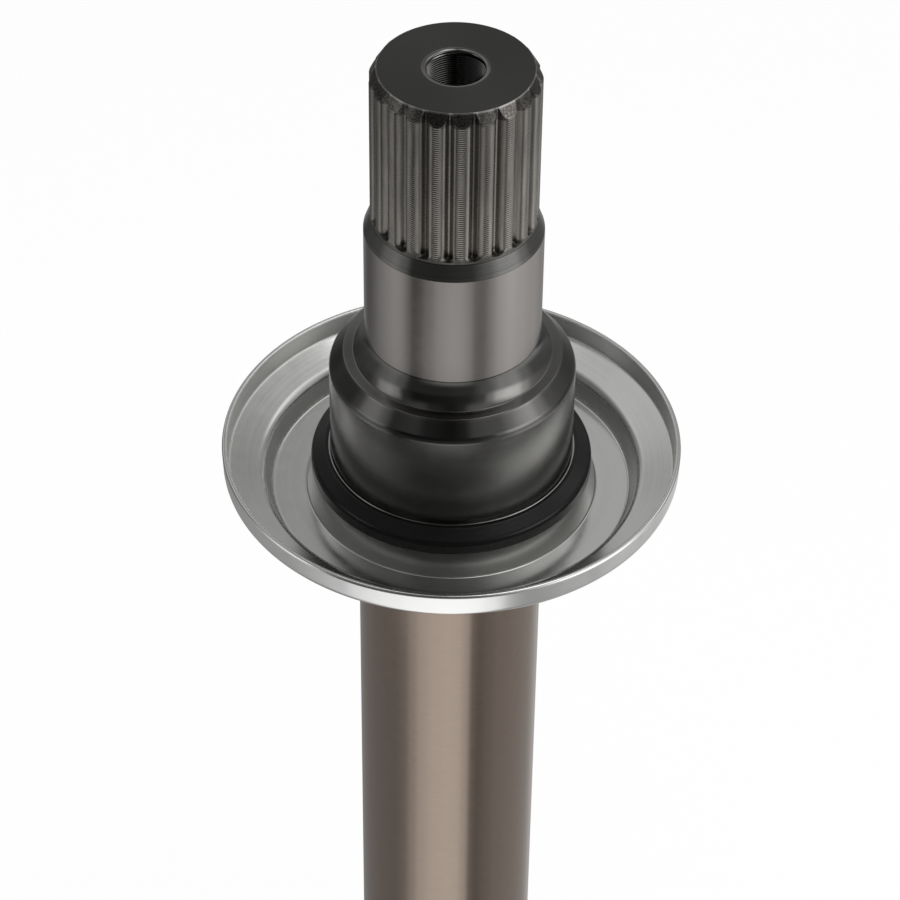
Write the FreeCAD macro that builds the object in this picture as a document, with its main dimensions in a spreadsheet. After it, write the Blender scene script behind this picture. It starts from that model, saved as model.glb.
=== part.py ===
import FreeCAD, Part
import math
import os

import Sketcher
from FreeCAD import Vector

# Driving dimensions, in millimetres unless the name says otherwise
SIZES = (
    ("overall_length", 350.0, "axle shaft from end to end"),
    ("thread_core_diameter", 10.2, "wall of the tapped hole in the upper end, M12"),
    ("thread_hole_depth", 30.0, "full-diameter depth of the tapped hole"),
    ("countersink_diameter", 13.0, "rounded mouth of the tapped hole"),
    ("countersink_depth", 1.7, "depth of the rounded mouth"),
    ("end_face_diameter", 26.9, "flat upper end inside the chamfered teeth"),
    ("spline_chamfer_height", 2.3, "axial height of the chamfer on the teeth"),
    ("spline_tip_diameter", 29.75, "over the crests"),
    ("spline_root_diameter", 27.2, "floor of the gaps"),
    ("spline_teeth", 21, "count of teeth"),
    ("spline_crest_width", 1.6, "flat crest of a tooth"),
    ("spline_root_width", 0.7, "flat floor of a gap"),
    ("spline_flank_radius", 3.0, "convex flank of a tooth"),
    ("spline_length", 30.8, "upper end to the foot of the crests"),
    ("spline_runout", 0.4, "plain band between the gaps' ends and the shoulder"),
    ("first_gap_angle", 9.1, "degrees from the X axis to the first gap"),
    ("journal_shoulder_height", 2.95, "cone from the crests to the journal"),
    ("journal_diameter", 32.0, "ground journal"),
    ("journal_height", 25.35, "journal from its cone to the corner of its flare"),
    ("flare_cone_width", 2.1, "radial growth of the flare"),
    ("flare_cone_height", 2.2, "axial height of the flare's cone"),
    ("flare_radius", 7.4, "concave blend from the journal into the flare"),
    ("seat_rim_drop", 0.3, "fall of the narrow ring above the seat"),
    ("seat_chamfer_width", 2.6, "radial width of the seat's lead-in cone"),
    ("seat_chamfer_height", 3.0, "axial height of the seat's lead-in cone"),
    ("seat_edge_radius", 2.0, "rounding between the lead-in cone and the seat"),
    ("seat_diameter", 45.0, "bearing seat"),
    ("seat_height", 18.8, "bearing seat from the corner of its cone to the relief"),
    ("relief_width", 0.7, "grinding relief below the seat"),
    ("relief_depth", 0.3, "radial depth of the grinding relief"),
    ("ring_land_step", 0.4, "radial step from the seat out to the land under the spacer ring"),
    ("ring_land_stand", 0.2, "land that shows above the spacer ring"),
    ("shoulder_width", 2.1, "radial width of the shoulder that the spacer ring stands on"),
    ("collar_land_height", 7.1, "height of the land under the collar of the dust shield"),
    ("shoulder_taper_height", 10.5, "cone from the collar land down to the bar"),
    ("bar_diameter", 34.8, "plain bar"),
    ("bar_chamfer", 1.5, "chamfer on the lower end"),
    ("centre_hole_diameter", 8.0, "mouth of the turning centre in the lower end"),
    ("centre_pilot_diameter", 3.2, "pilot drilling of the turning centre"),
    ("centre_pilot_depth", 8.0, "depth of that drilling"),
    ("ring_wall_width", 3.2, "spacer ring from its bore to its outside"),
    ("ring_height", 4.05, "spacer ring, at its bore"),
    ("ring_flat_width", 0.6, "flat top of the spacer ring next to its bore"),
    ("ring_slope_drop", 1.4, "fall of the spacer ring's sloping top"),
    ("ring_edge_chamfer", 0.35, "broken upper edge of the spacer ring"),
    ("sheet_thickness", 1.0, "pressed sheet of the dust shield"),
    ("collar_height", 4.9, "collar of the dust shield above its inner flat"),
    ("collar_rim_width", 1.1, "wall of the collar at its upper rim"),
    ("collar_flare", 1.0, "radial growth of the collar towards its foot"),
    ("inner_flat_width", 6.4, "level flat between the collar and the step"),
    ("step_width", 1.5, "radial width of the step"),
    ("step_height", 3.95, "height of the step"),
    ("step_top_radius", 1.6, "rounded upper corner of the step"),
    ("outer_flat_width", 5.9, "radial width of the outer flat"),
    ("outer_flat_rise", 1.9, "rise of the outer flat towards the lip"),
    ("heel_width", 0.6, "radial width of the steeper heel below the lip"),
    ("heel_rise", 0.5, "rise of that heel"),
    ("lip_bend", 1.2, "inner radius of the bend below the lip"),
    ("lip_height", 3.7, "lip above its corner with the heel"),
    ("lip_flare", 0.15, "radial growth of the lip"),
)
DRILL_POINT_ANGLE = 118.0
CENTRE_ANGLE = 60.0
SPLINE_CUT_MARGIN = 1.0


class Length:
    """A number together with the sheet expression that it follows."""

    def __init__(self, value, text):
        self.value = float(value)
        self.text = text

    @staticmethod
    def of(other):
        if isinstance(other, Length):
            return other
        return Length(other, repr(float(other)))

    def __add__(self, other):
        other = Length.of(other)
        return Length(self.value + other.value, f"({self.text} + {other.text})")

    def __sub__(self, other):
        other = Length.of(other)
        return Length(self.value - other.value, f"({self.text} - {other.text})")

    def __mul__(self, other):
        other = Length.of(other)
        return Length(self.value * other.value, f"({self.text} * {other.text})")

    def __truediv__(self, other):
        other = Length.of(other)
        return Length(self.value / other.value, f"({self.text} / {other.text})")


class SizeSheet:
    """The spreadsheet of driving dimensions; each one is read as an attribute."""

    def __init__(self, document):
        self.sheet = document.addObject("Spreadsheet::Sheet", "Sizes")
        for row, (alias, value, meaning) in enumerate(SIZES, start=1):
            self.sheet.set(f"A{row}", alias)
            self.sheet.set(f"B{row}", str(value))
            self.sheet.set(f"C{row}", meaning)
            self.sheet.setAlias(f"B{row}", alias)
        document.recompute()

    def __getattr__(self, alias):
        return Length(self.sheet.get(alias), f"Sizes.{alias}")


def sine(angle):
    return Length(math.sin(math.radians(angle.value)), f"sin({angle.text} * 1 deg)")


# Sketch helpers


def numbers(corner):
    return Vector(corner[0].value, corner[1].value, 0)


def origin_plane(body, role):
    for feature in body.Origin.OriginFeatures:
        if feature.Role == role:
            return feature
    raise RuntimeError(f"no {role} in {body.Label}")


def new_sketch(body, name, role):
    sketch = body.newObject("Sketcher::SketchObject", name)
    sketch.AttachmentSupport = [(origin_plane(body, role), "")]
    sketch.MapMode = "FlatFace"
    return sketch


def bind(sketch, constraint, length):
    """Adds a dimension and ties it to the sheet."""
    index = sketch.addConstraint(constraint)
    sketch.setExpression(f"Constraints[{index}]", length.text)


def place_point(sketch, geometry, end, corner):
    """Holds a point at a radius and a height; a radius of nothing means on the axis."""
    radius, height = corner
    if radius.value == 0:
        sketch.addConstraint(Sketcher.Constraint("PointOnObject", geometry, end, -2))
    else:
        bind(sketch, Sketcher.Constraint("DistanceX", -1, 1, geometry, end, radius.value), radius)
    if height.value == 0:
        sketch.addConstraint(Sketcher.Constraint("PointOnObject", geometry, end, -1))
    else:
        bind(sketch, Sketcher.Constraint("DistanceY", -1, 1, geometry, end, height.value), height)


def rounding(before, corner, after, radius):
    """Start, end and centre of the arc that rounds a corner between two straight lines."""
    back = (before - corner).normalize()
    ahead = (after - corner).normalize()
    half_angle = back.getAngle(ahead) / 2
    reach = radius / math.tan(half_angle)
    middle = (back + ahead).normalize()
    centre = corner + middle * (radius / math.sin(half_angle))
    return corner + back * reach, corner + ahead * reach, centre


def arc_between(start, end, centre):
    """The shorter arc from start to end, and the ends' numbers in travelling order."""
    first = math.atan2(start.y - centre.y, start.x - centre.x)
    last = math.atan2(end.y - centre.y, end.x - centre.x)
    turn = (last - first) % (2 * math.pi)
    circle = Part.Circle(centre, Vector(0, 0, 1), (start - centre).Length)
    if turn < math.pi:
        return Part.ArcOfCircle(circle, first, first + turn), 1, 2
    return Part.ArcOfCircle(circle, last, last + 2 * math.pi - turn), 2, 1


def draw_path(sketch, points, radii, closed):
    """Draws straight lines through the points, with tangent arcs at the rounded ones.

    Returns the lines' numbers and, for each rounded point, its arc's number.
    """
    count = len(points)
    starts = list(points)
    ends = list(points)
    centres = {}
    for index, radius in radii.items():
        arc = rounding(points[index - 1], points[index], points[(index + 1) % count], radius.value)
        ends[index], starts[index], centres[index] = arc
    lines = []
    for index in range(count if closed else count - 1):
        line = Part.LineSegment(starts[index], ends[(index + 1) % count])
        lines.append(sketch.addGeometry(line, False))
    arcs = {}
    for index, radius in radii.items():
        arc, entry, leaving = arc_between(ends[index], starts[index], centres[index])
        number = sketch.addGeometry(arc, False)
        sketch.addConstraint(Sketcher.Constraint("Tangent", lines[index - 1], 2, number, entry))
        sketch.addConstraint(Sketcher.Constraint("Tangent", number, leaving, lines[index], 1))
        bind(sketch, Sketcher.Constraint("Radius", number, radius.value), radius)
        arcs[index] = number
    for index in range(0 if closed else 1, count if closed else count - 1):
        if index not in radii:
            joint = Sketcher.Constraint("Coincident", lines[index - 1], 2, lines[index], 1)
            sketch.addConstraint(joint)
    return lines, arcs


def hold_corners(sketch, corners, lines, radii, closed):
    """Ties each corner of a drawn path to its radius and height."""
    for index, corner in enumerate(corners):
        if index in radii:
            mark = sketch.addGeometry(Part.Point(numbers(corner)), True)
            place_point(sketch, mark, 1, corner)
            for line in (lines[index - 1], lines[index]):
                sketch.addConstraint(Sketcher.Constraint("PointOnObject", mark, 1, line))
        elif closed or index < len(corners) - 1:
            place_point(sketch, lines[index], 1, corner)
        else:
            place_point(sketch, lines[-1], 2, corner)


def draw_outline(sketch, corners, radii):
    """A closed outline whose corners are tied to the sheet."""
    points = [numbers(corner) for corner in corners]
    lines, _ = draw_path(sketch, points, radii, closed=True)
    hold_corners(sketch, corners, lines, radii, closed=True)


def revolve(body, sketch, kind):
    """A turned body, or a turned cut, from a half section beside the vertical axis."""
    feature = body.newObject(f"PartDesign::{kind}", f"{sketch.Name}{kind}")
    feature.Profile = sketch
    feature.ReferenceAxis = (sketch, ["V_Axis"])
    feature.Angle = 360
    return feature


def check_cut(document, body, volume_before, name):
    document.recompute()
    if body.Shape.Volume >= volume_before:
        raise RuntimeError(f"{name} removes nothing")
    return body.Shape.Volume


# Heights of the shaft's features above its lower end


class Heights:
    def __init__(self, size):
        self.end_face = size.overall_length
        self.spline_chamfer = self.end_face - size.spline_chamfer_height
        self.spline_foot = self.end_face - size.spline_length
        self.journal_top = self.spline_foot - size.journal_shoulder_height
        self.flare_corner = self.journal_top - size.journal_height
        self.flare_foot = self.flare_corner - size.flare_cone_height
        self.seat_rim = self.flare_foot - size.seat_rim_drop
        self.seat_corner = self.seat_rim - size.seat_chamfer_height
        self.relief_top = self.seat_corner - size.seat_height
        self.ring_land_top = self.relief_top - size.relief_width
        self.shoulder = self.ring_land_top - size.ring_land_stand - size.ring_height
        self.collar_land_foot = self.shoulder - size.collar_land_height
        self.bar_top = self.collar_land_foot - size.shoulder_taper_height


# Radii that two pieces share


def ring_land(size):
    return size.seat_diameter / 2 + size.ring_land_step


def collar_land(size):
    return ring_land(size) + size.shoulder_width


def make_axle_shaft(document, size, heights):
    """One forging, turned, bored and splined."""
    body = document.addObject("PartDesign::Body", "AxleShaft")
    body.Label = "axle_shaft"
    nothing = Length.of(0)
    journal_radius = size.journal_diameter / 2
    seat_radius = size.seat_diameter / 2
    ring_land_radius = ring_land(size)
    collar_land_radius = collar_land(size)
    bar_radius = size.bar_diameter / 2
    tip_radius = size.spline_tip_diameter / 2

    blank = new_sketch(body, "ShaftSection", "XZ_Plane")
    corners = [
        (nothing, heights.end_face),
        (size.end_face_diameter / 2, heights.end_face),
        (tip_radius, heights.spline_chamfer),
        (tip_radius, heights.spline_foot),
        (journal_radius, heights.journal_top),
        (journal_radius, heights.flare_corner),
        (journal_radius + size.flare_cone_width, heights.flare_foot),
        (seat_radius - size.seat_chamfer_width, heights.seat_rim),
        (seat_radius, heights.seat_corner),
        (seat_radius, heights.relief_top),
        (seat_radius - size.relief_depth, heights.relief_top),
        (seat_radius - size.relief_depth, heights.ring_land_top),
        (ring_land_radius, heights.ring_land_top),
        (ring_land_radius, heights.shoulder),
        (collar_land_radius, heights.shoulder),
        (collar_land_radius, heights.collar_land_foot),
        (bar_radius, heights.bar_top),
        (bar_radius, size.bar_chamfer),
        (bar_radius - size.bar_chamfer, nothing),
        (nothing, nothing),
    ]
    flare_index = corners.index((journal_radius, heights.flare_corner))
    seat_index = corners.index((seat_radius, heights.seat_corner))
    radii = {flare_index: size.flare_radius, seat_index: size.seat_edge_radius}
    draw_outline(blank, corners, radii)
    revolve(body, blank, "Revolution")
    document.recompute()
    volume = body.Shape.Volume

    cut_tapped_hole(body, size, heights)
    volume = check_cut(document, body, volume, "tapped hole")
    cut_turning_centre(body, size)
    volume = check_cut(document, body, volume, "turning centre")
    cut_spline(document, body, size, heights)
    check_cut(document, body, volume, "spline")
    return body


def cut_tapped_hole(body, size, heights):
    """The drilled hole in the upper end, with a drill point and a rounded mouth."""
    sketch = new_sketch(body, "TappedHoleSection", "XZ_Plane")
    nothing = Length.of(0)
    wall = size.thread_core_diameter / 2
    mouth = size.countersink_diameter / 2
    floor = heights.end_face - size.thread_hole_depth
    tip = floor - wall * (1 / math.tan(math.radians(DRILL_POINT_ANGLE / 2)))
    corners = [
        (nothing, heights.end_face),
        (mouth, heights.end_face),
        (wall, heights.end_face - size.countersink_depth),
        (wall, floor),
        (nothing, tip),
    ]
    draw_outline(sketch, corners, {})
    revolve(body, sketch, "Groove")


def cut_turning_centre(body, size):
    """The centre drilling that the lathe's tailstock ran in."""
    sketch = new_sketch(body, "TurningCentreSection", "XZ_Plane")
    nothing = Length.of(0)
    mouth = size.centre_hole_diameter / 2
    pilot = size.centre_pilot_diameter / 2
    cone_height = (mouth - pilot) * (1 / math.tan(math.radians(CENTRE_ANGLE / 2)))
    corners = [
        (nothing, nothing),
        (mouth, nothing),
        (pilot, cone_height),
        (pilot, size.centre_pilot_depth),
        (nothing, size.centre_pilot_depth),
    ]
    draw_outline(sketch, corners, {})
    revolve(body, sketch, "Groove")


def cut_spline(document, body, size, heights):
    """One gap between two teeth, cut down from the upper end and repeated round the shaft."""
    sketch = new_sketch(body, "SplineGap", "XY_Plane")
    sketch.setExpression("AttachmentOffset.Base.z", heights.end_face.text)
    sketch.setExpression("AttachmentOffset.Rotation.Angle", size.first_gap_angle.text)
    sketch.AttachmentOffset = FreeCAD.Placement(
        Vector(0, 0, heights.end_face.value),
        FreeCAD.Rotation(Vector(0, 0, 1), size.first_gap_angle.value),
    )
    root = size.spline_root_diameter / 2
    tip = size.spline_tip_diameter / 2
    floor_half = size.spline_root_width / 2
    crest_half_angle = size.spline_crest_width / 2 / tip * math.degrees(1)
    mouth_half = tip * sine(Length.of(180) / size.spline_teeth - crest_half_angle)
    outside = tip + SPLINE_CUT_MARGIN

    floor_x = math.sqrt(root.value**2 - floor_half.value**2)
    mouth_x = math.sqrt(tip.value**2 - mouth_half.value**2)
    floor_low = Vector(floor_x, -floor_half.value, 0)
    floor_high = Vector(floor_x, floor_half.value, 0)
    mouth_low = Vector(mouth_x, -mouth_half.value, 0)
    mouth_high = Vector(mouth_x, mouth_half.value, 0)
    out_low = Vector(outside.value, -mouth_half.value, 0)
    out_high = Vector(outside.value, mouth_half.value, 0)

    floor_arc, _, _ = arc_between(floor_low, floor_high, Vector(0, 0, 0))
    floor = sketch.addGeometry(floor_arc, False)
    high_centre = flank_centre(floor_high, mouth_high, size.spline_flank_radius.value)
    low_centre = Vector(high_centre.x, -high_centre.y, 0)
    high_arc, high_foot, high_top = arc_between(floor_high, mouth_high, high_centre)
    low_arc, low_foot, low_top = arc_between(floor_low, mouth_low, low_centre)
    high = sketch.addGeometry(high_arc, False)
    low = sketch.addGeometry(low_arc, False)
    side_high = sketch.addGeometry(Part.LineSegment(mouth_high, out_high), False)
    back = sketch.addGeometry(Part.LineSegment(out_high, out_low), False)
    side_low = sketch.addGeometry(Part.LineSegment(out_low, mouth_low), False)
    crest = Part.Circle(Vector(0, 0, 0), Vector(0, 0, 1), tip.value)
    crest_circle = sketch.addGeometry(crest, True)

    for first, first_end, second, second_end in (
        (floor, 2, high, high_foot),
        (floor, 1, low, low_foot),
        (high, high_top, side_high, 1),
        (side_high, 2, back, 1),
        (back, 2, side_low, 1),
        (side_low, 2, low, low_top),
        (floor, 3, -1, 1),
        (crest_circle, 3, -1, 1),
    ):
        joint = Sketcher.Constraint("Coincident", first, first_end, second, second_end)
        sketch.addConstraint(joint)
    bind(sketch, Sketcher.Constraint("Radius", floor, root.value), root)
    bind(sketch, Sketcher.Constraint("Radius", crest_circle, tip.value), tip)
    for arc in (high, low):
        radius = size.spline_flank_radius
        bind(sketch, Sketcher.Constraint("Radius", arc, radius.value), radius)
    sketch.addConstraint(Sketcher.Constraint("PointOnObject", high, high_top, crest_circle))
    bind(sketch, Sketcher.Constraint("DistanceY", -1, 1, floor, 2, floor_half.value), floor_half)
    bind(sketch, Sketcher.Constraint("DistanceY", -1, 1, side_high, 1, mouth_half.value), mouth_half)
    bind(sketch, Sketcher.Constraint("DistanceX", -1, 1, back, 1, outside.value), outside)
    sketch.addConstraint(Sketcher.Constraint("Horizontal", side_high))
    sketch.addConstraint(Sketcher.Constraint("Symmetric", floor, 2, floor, 1, -1))
    sketch.addConstraint(Sketcher.Constraint("Symmetric", side_high, 1, side_low, 2, -1))
    sketch.addConstraint(Sketcher.Constraint("Symmetric", back, 1, back, 2, -1))

    gap = body.newObject("PartDesign::Pocket", "SplineGapPocket")
    gap.Profile = sketch
    gap.setExpression("Length", (size.spline_length - size.spline_runout).text)
    document.recompute()
    teeth = body.newObject("PartDesign::PolarPattern", "SplineGaps")
    teeth.Originals = [gap]
    teeth.Axis = (sketch, ["N_Axis"])
    teeth.Angle = 360
    teeth.setExpression("Occurrences", size.spline_teeth.text)
    body.Tip = teeth


def flank_centre(foot, top, radius):
    """Centre of a flank that bulges out of its tooth, on the tooth's side of the chord."""
    chord = top - foot
    towards_tooth = Vector(-chord.y, chord.x, 0).normalize()
    middle = (foot + top) * 0.5
    return middle + towards_tooth * math.sqrt(radius**2 - (chord.Length / 2) ** 2)


def make_spacer_ring(document, size, heights):
    """The ring pressed on below the bearing seat; it stands on the shaft's shoulder."""
    body = document.addObject("PartDesign::Body", "SpacerRing")
    body.Label = "spacer_ring"
    sketch = new_sketch(body, "RingSection", "XZ_Plane")
    nothing = Length.of(0)
    bore = ring_land(size)
    outside = bore + size.ring_wall_width
    slope_foot = size.ring_height - size.ring_slope_drop
    corners = [
        (bore, nothing),
        (bore, size.ring_height),
        (bore + size.ring_flat_width, size.ring_height),
        (outside - size.ring_edge_chamfer, slope_foot),
        (outside, slope_foot - size.ring_edge_chamfer),
        (outside, nothing),
    ]
    draw_outline(sketch, corners, {})
    revolve(body, sketch, "Revolution")
    body.setExpression("Placement.Base.z", heights.shoulder.text)
    return body


def make_dust_shield(document, size, heights):
    """A pressed sheet: collar, inner flat, step, rising outer flat and turned-up lip."""
    body = document.addObject("PartDesign::Body", "DustShield")
    body.Label = "dust_shield"
    sketch = new_sketch(body, "ShieldSection", "XZ_Plane")
    sheet = size.sheet_thickness
    bore = collar_land(size)
    rim = sheet + size.collar_height
    collar_rim = bore + size.collar_rim_width
    collar_foot = collar_rim + size.collar_flare
    step_foot = collar_foot + size.inner_flat_width
    step_top = step_foot + size.step_width
    step_top_height = sheet + size.step_height
    heel = step_top + size.outer_flat_width
    heel_height = step_top_height + size.outer_flat_rise
    lip_base = heel + size.heel_width
    lip_base_height = heel_height + size.heel_rise
    step_corner = (step_top, step_top_height)
    lip_corner = (lip_base, lip_base_height)
    upper = [
        (collar_rim, rim),
        (collar_foot, sheet),
        (step_foot, sheet),
        step_corner,
        (heel, heel_height),
        lip_corner,
        (lip_base + size.lip_flare, lip_base_height + size.lip_height),
    ]
    bends = {
        upper.index(step_corner): size.step_top_radius,
        upper.index(lip_corner): size.lip_bend,
    }
    points = [numbers(corner) for corner in upper]
    upper_lines, _ = draw_path(sketch, points, bends, closed=False)
    hold_corners(sketch, upper, upper_lines, bends, closed=False)

    bore_top = Vector(bore.value, rim.value, 0)
    lower_points = [bore_top] + sheet_underside(points[1:], sheet.value, bore.value)
    lower_lines, _ = draw_path(sketch, lower_points, {}, closed=False)
    place_point(sketch, lower_lines[0], 1, (bore, rim))
    sketch.addConstraint(Sketcher.Constraint("Vertical", lower_lines[0]))
    for above, below in zip(upper_lines[1:], lower_lines[1:]):
        sketch.addConstraint(Sketcher.Constraint("Parallel", above, below))
        bind(sketch, Sketcher.Constraint("Distance", below, 1, above, sheet.value), sheet)

    collar_edge = sketch.addGeometry(Part.LineSegment(points[0], bore_top), False)
    lip_edge = sketch.addGeometry(Part.LineSegment(points[-1], lower_points[-1]), False)
    for edge, end, line, line_end in (
        (collar_edge, 1, upper_lines[0], 1),
        (collar_edge, 2, lower_lines[0], 1),
        (lip_edge, 1, upper_lines[-1], 2),
        (lip_edge, 2, lower_lines[-1], 2),
    ):
        sketch.addConstraint(Sketcher.Constraint("Coincident", edge, end, line, line_end))
    sketch.addConstraint(Sketcher.Constraint("Perpendicular", lip_edge, upper_lines[-1]))
    revolve(body, sketch, "Revolution")
    body.setExpression("Placement.Base.z", (heights.shoulder - rim).text)
    return body


def sheet_underside(points, thickness, bore):
    """Corners of the sheet's lower side: its lines run one thickness below the upper ones."""
    shifted = []
    for start, end in zip(points, points[1:]):
        along = (end - start).normalize()
        below = Vector(along.y, -along.x, 0) * thickness
        shifted.append((start + below, along))
    first_point, first_along = shifted[0]
    corners = [first_point + first_along * ((bore - first_point.x) / first_along.x)]
    for (one, one_along), (other, other_along) in zip(shifted, shifted[1:]):
        cross = one_along.x * other_along.y - one_along.y * other_along.x
        gap = other - one
        reach = (gap.x * other_along.y - gap.y * other_along.x) / cross
        corners.append(one + one_along * reach)
    last_point, last_along = shifted[-1]
    corners.append(last_point + last_along * (points[-1] - points[-2]).Length)
    return corners


def check_document(document, bodies):
    """Stops the build where an object failed or a sub-part is not one valid solid."""
    for item in document.Objects:
        if "Invalid" in item.State or "Error" in item.State:
            raise RuntimeError(f"{item.Name} failed: {item.State}")
    for item in document.findObjects("Sketcher::SketchObject"):
        if item.solve() != 0:
            raise RuntimeError(f"{item.Name} does not solve")
    for body in bodies:
        if body.Shape.isNull() or not body.Shape.isValid() or len(body.Shape.Solids) != 1:
            raise RuntimeError(f"{body.Label} is not one valid solid")


def main():
    document = FreeCAD.newDocument("AxleShaftAssembly")
    size = SizeSheet(document)
    heights = Heights(size)
    bodies = [
        make_axle_shaft(document, size, heights),
        make_spacer_ring(document, size, heights),
        make_dust_shield(document, size, heights),
    ]
    document.recompute()
    check_document(document, bodies)
    os.makedirs("parts", exist_ok=True)
    for body in bodies:
        body.Shape.exportStep(f"parts/{body.Label}.step")
        box = body.Shape.BoundBox
        print(body.Label, f"volume {body.Shape.Volume:.1f}", f"z {box.ZMin:.2f} to {box.ZMax:.2f}")


main()
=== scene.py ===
"""A turned axle shaft with a splined end, its black spacer ring and its pressed dust shield."""

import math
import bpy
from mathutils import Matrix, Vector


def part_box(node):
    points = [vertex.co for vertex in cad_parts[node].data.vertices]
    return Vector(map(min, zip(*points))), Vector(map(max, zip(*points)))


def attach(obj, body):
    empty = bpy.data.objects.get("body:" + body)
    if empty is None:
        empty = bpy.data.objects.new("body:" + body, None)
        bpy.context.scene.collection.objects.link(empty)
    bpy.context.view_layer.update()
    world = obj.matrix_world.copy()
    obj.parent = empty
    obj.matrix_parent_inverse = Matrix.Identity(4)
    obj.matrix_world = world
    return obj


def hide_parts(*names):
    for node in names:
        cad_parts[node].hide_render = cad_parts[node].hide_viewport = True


bl_info = {
    "name": "Axle Shaft",
    "version": (1, 0, 0),
    "blender": (4, 5, 0),
    "location": "3D View > Sidebar > Axle Shaft",
    "description": "A splined axle shaft with a spacer ring and a dust shield in a pale studio",
    "category": "Object",
}

import bmesh
import bpy
from bpy.props import FloatProperty, FloatVectorProperty, IntProperty, PointerProperty
from mathutils import Matrix, Vector

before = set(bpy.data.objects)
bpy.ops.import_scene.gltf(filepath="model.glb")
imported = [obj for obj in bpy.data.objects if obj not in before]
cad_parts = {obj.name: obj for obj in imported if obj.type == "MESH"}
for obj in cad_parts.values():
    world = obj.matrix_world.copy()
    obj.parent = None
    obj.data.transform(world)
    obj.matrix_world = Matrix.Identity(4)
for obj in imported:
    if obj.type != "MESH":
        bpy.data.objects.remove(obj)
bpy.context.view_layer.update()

MM = 0.001
SHAFT_FOOT, SHAFT_TOP = (corner.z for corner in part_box("axle_shaft"))
RING_FOOT, RING_TOP = (corner.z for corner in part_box("spacer_ring"))
SHIELD_FOOT, SHIELD_TOP = (corner.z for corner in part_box("dust_shield"))

# How finely roundings are drawn, and how far a point that keeps shading flat stands beside them
TURN_STEP = math.radians(8)
GUARD = 0.1 * MM
SHARP_ANGLE = math.radians(26)
MERGE_DISTANCE = 0.0005 * MM


def length(name, description, millimetres):
    return FloatProperty(
        name=name,
        description=description,
        default=millimetres * MM,
        min=0.0,
        precision=5,
        subtype="DISTANCE",
        unit="LENGTH",
    )


def colour(name, description, value):
    return FloatVectorProperty(
        name=name, description=description, default=value, size=3, min=0.0, max=1.0, subtype="COLOR"
    )


def brightness(name, description):
    return FloatProperty(name=name, description=description, default=1.0, min=0.0, max=4.0)


class AxleShaftSizes(bpy.types.PropertyGroup):
    teeth: IntProperty(name="Teeth", description="Count of spline teeth", default=21, min=6, max=60)
    first_gap: FloatProperty(
        name="First gap",
        description="Angle from the X axis to the first gap between two teeth",
        default=math.radians(9.1),
        subtype="ANGLE",
        unit="ROTATION",
    )
    end_face_radius: length("End face radius", "Flat upper end inside the chamfered teeth", 13.6)
    tip_radius: length("Tip radius", "Over the crests of the teeth", 14.875)
    root_radius: length("Root radius", "Floor of the gaps", 13.6)
    crest_width: length("Crest width", "Crest of a tooth between its flanks", 1.5)
    root_width: length("Root width", "Flat floor of a gap", 0.45)
    flank_radius: length("Flank radius", "Convex flank of a tooth", 2.0)
    crest_reach: length("Crest reach", "How far the rounding of a crest's edges reaches", 0.5)
    tooth_chamfer: length("Tooth chamfer", "Axial height of the chamfer on the teeth", 2.25)
    rim_rounding: length("Rim rounding", "Rounding between the end face and the chamfer", 0.4)
    spline_length: length("Spline length", "Upper end to the foot of the crests", 30.8)
    pocket_lift: length("Gap end lift", "Rise of a gap's end from its middle to its sides", 0.9)
    journal_radius: length("Journal radius", "Ground journal below the spline", 16.0)
    journal_foot: length("Journal foot", "Height of the journal's lower border", 293.87)
    seat_radius: length("Seat radius", "Bearing seat above the spacer ring", 22.5)
    bar_radius: length("Bar radius", "Plain bar below the dust shield", 17.4)
    thread_core_radius: length("Thread core radius", "Crests of the fine internal thread", 5.1)
    thread_depth: length("Thread depth", "Radial depth of the fine internal thread", 0.22)
    thread_pitch: length("Thread pitch", "Axial step of the fine internal thread", 0.45)
    thread_length: length("Thread length", "Axial length of the fine internal thread", 27.0)
    mouth_radius: length("Mouth radius", "Rounded mouth of the tapped hole", 6.2)
    mouth_depth: length("Mouth depth", "Axial height of the rounded mouth", 0.4)
    hole_depth: length("Hole depth", "Full-width depth of the tapped hole", 30.0)


class AxleShaftFinish(bpy.types.PropertyGroup):
    end_face: colour("End face", "Dark steel of the flat upper end", (0.071, 0.07, 0.067))
    teeth: colour("Teeth", "Steel of the spline", (0.235, 0.222, 0.205))
    journal: colour("Journal", "Ground steel of the journal", (0.37, 0.347, 0.332))
    neck: colour("Neck", "Dark steel of the cone, the flare and the lead-in", (0.18, 0.178, 0.172))
    seat: colour("Seat", "Steel of the bearing seat", (0.195, 0.193, 0.187))
    bar: colour("Bar", "Brown-grey steel of the bar", (0.375, 0.301, 0.25))


class SpacerRingSizes(bpy.types.PropertyGroup):
    bore_radius: length("Bore radius", "Land that the ring is pressed on", 22.9)
    outer_radius: length("Outer radius", "Outside of the ring", 26.1)
    flat_width: length("Flat width", "Level top next to the bore", 0.6)
    slope_drop: length("Slope drop", "Fall of the sloping top", 1.5)
    edge_radius: length("Edge radius", "Rounded upper outer edge", 1.2)
    tint: colour("Tint", "Black finish of the ring", (0.003, 0.0035, 0.003))


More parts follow.
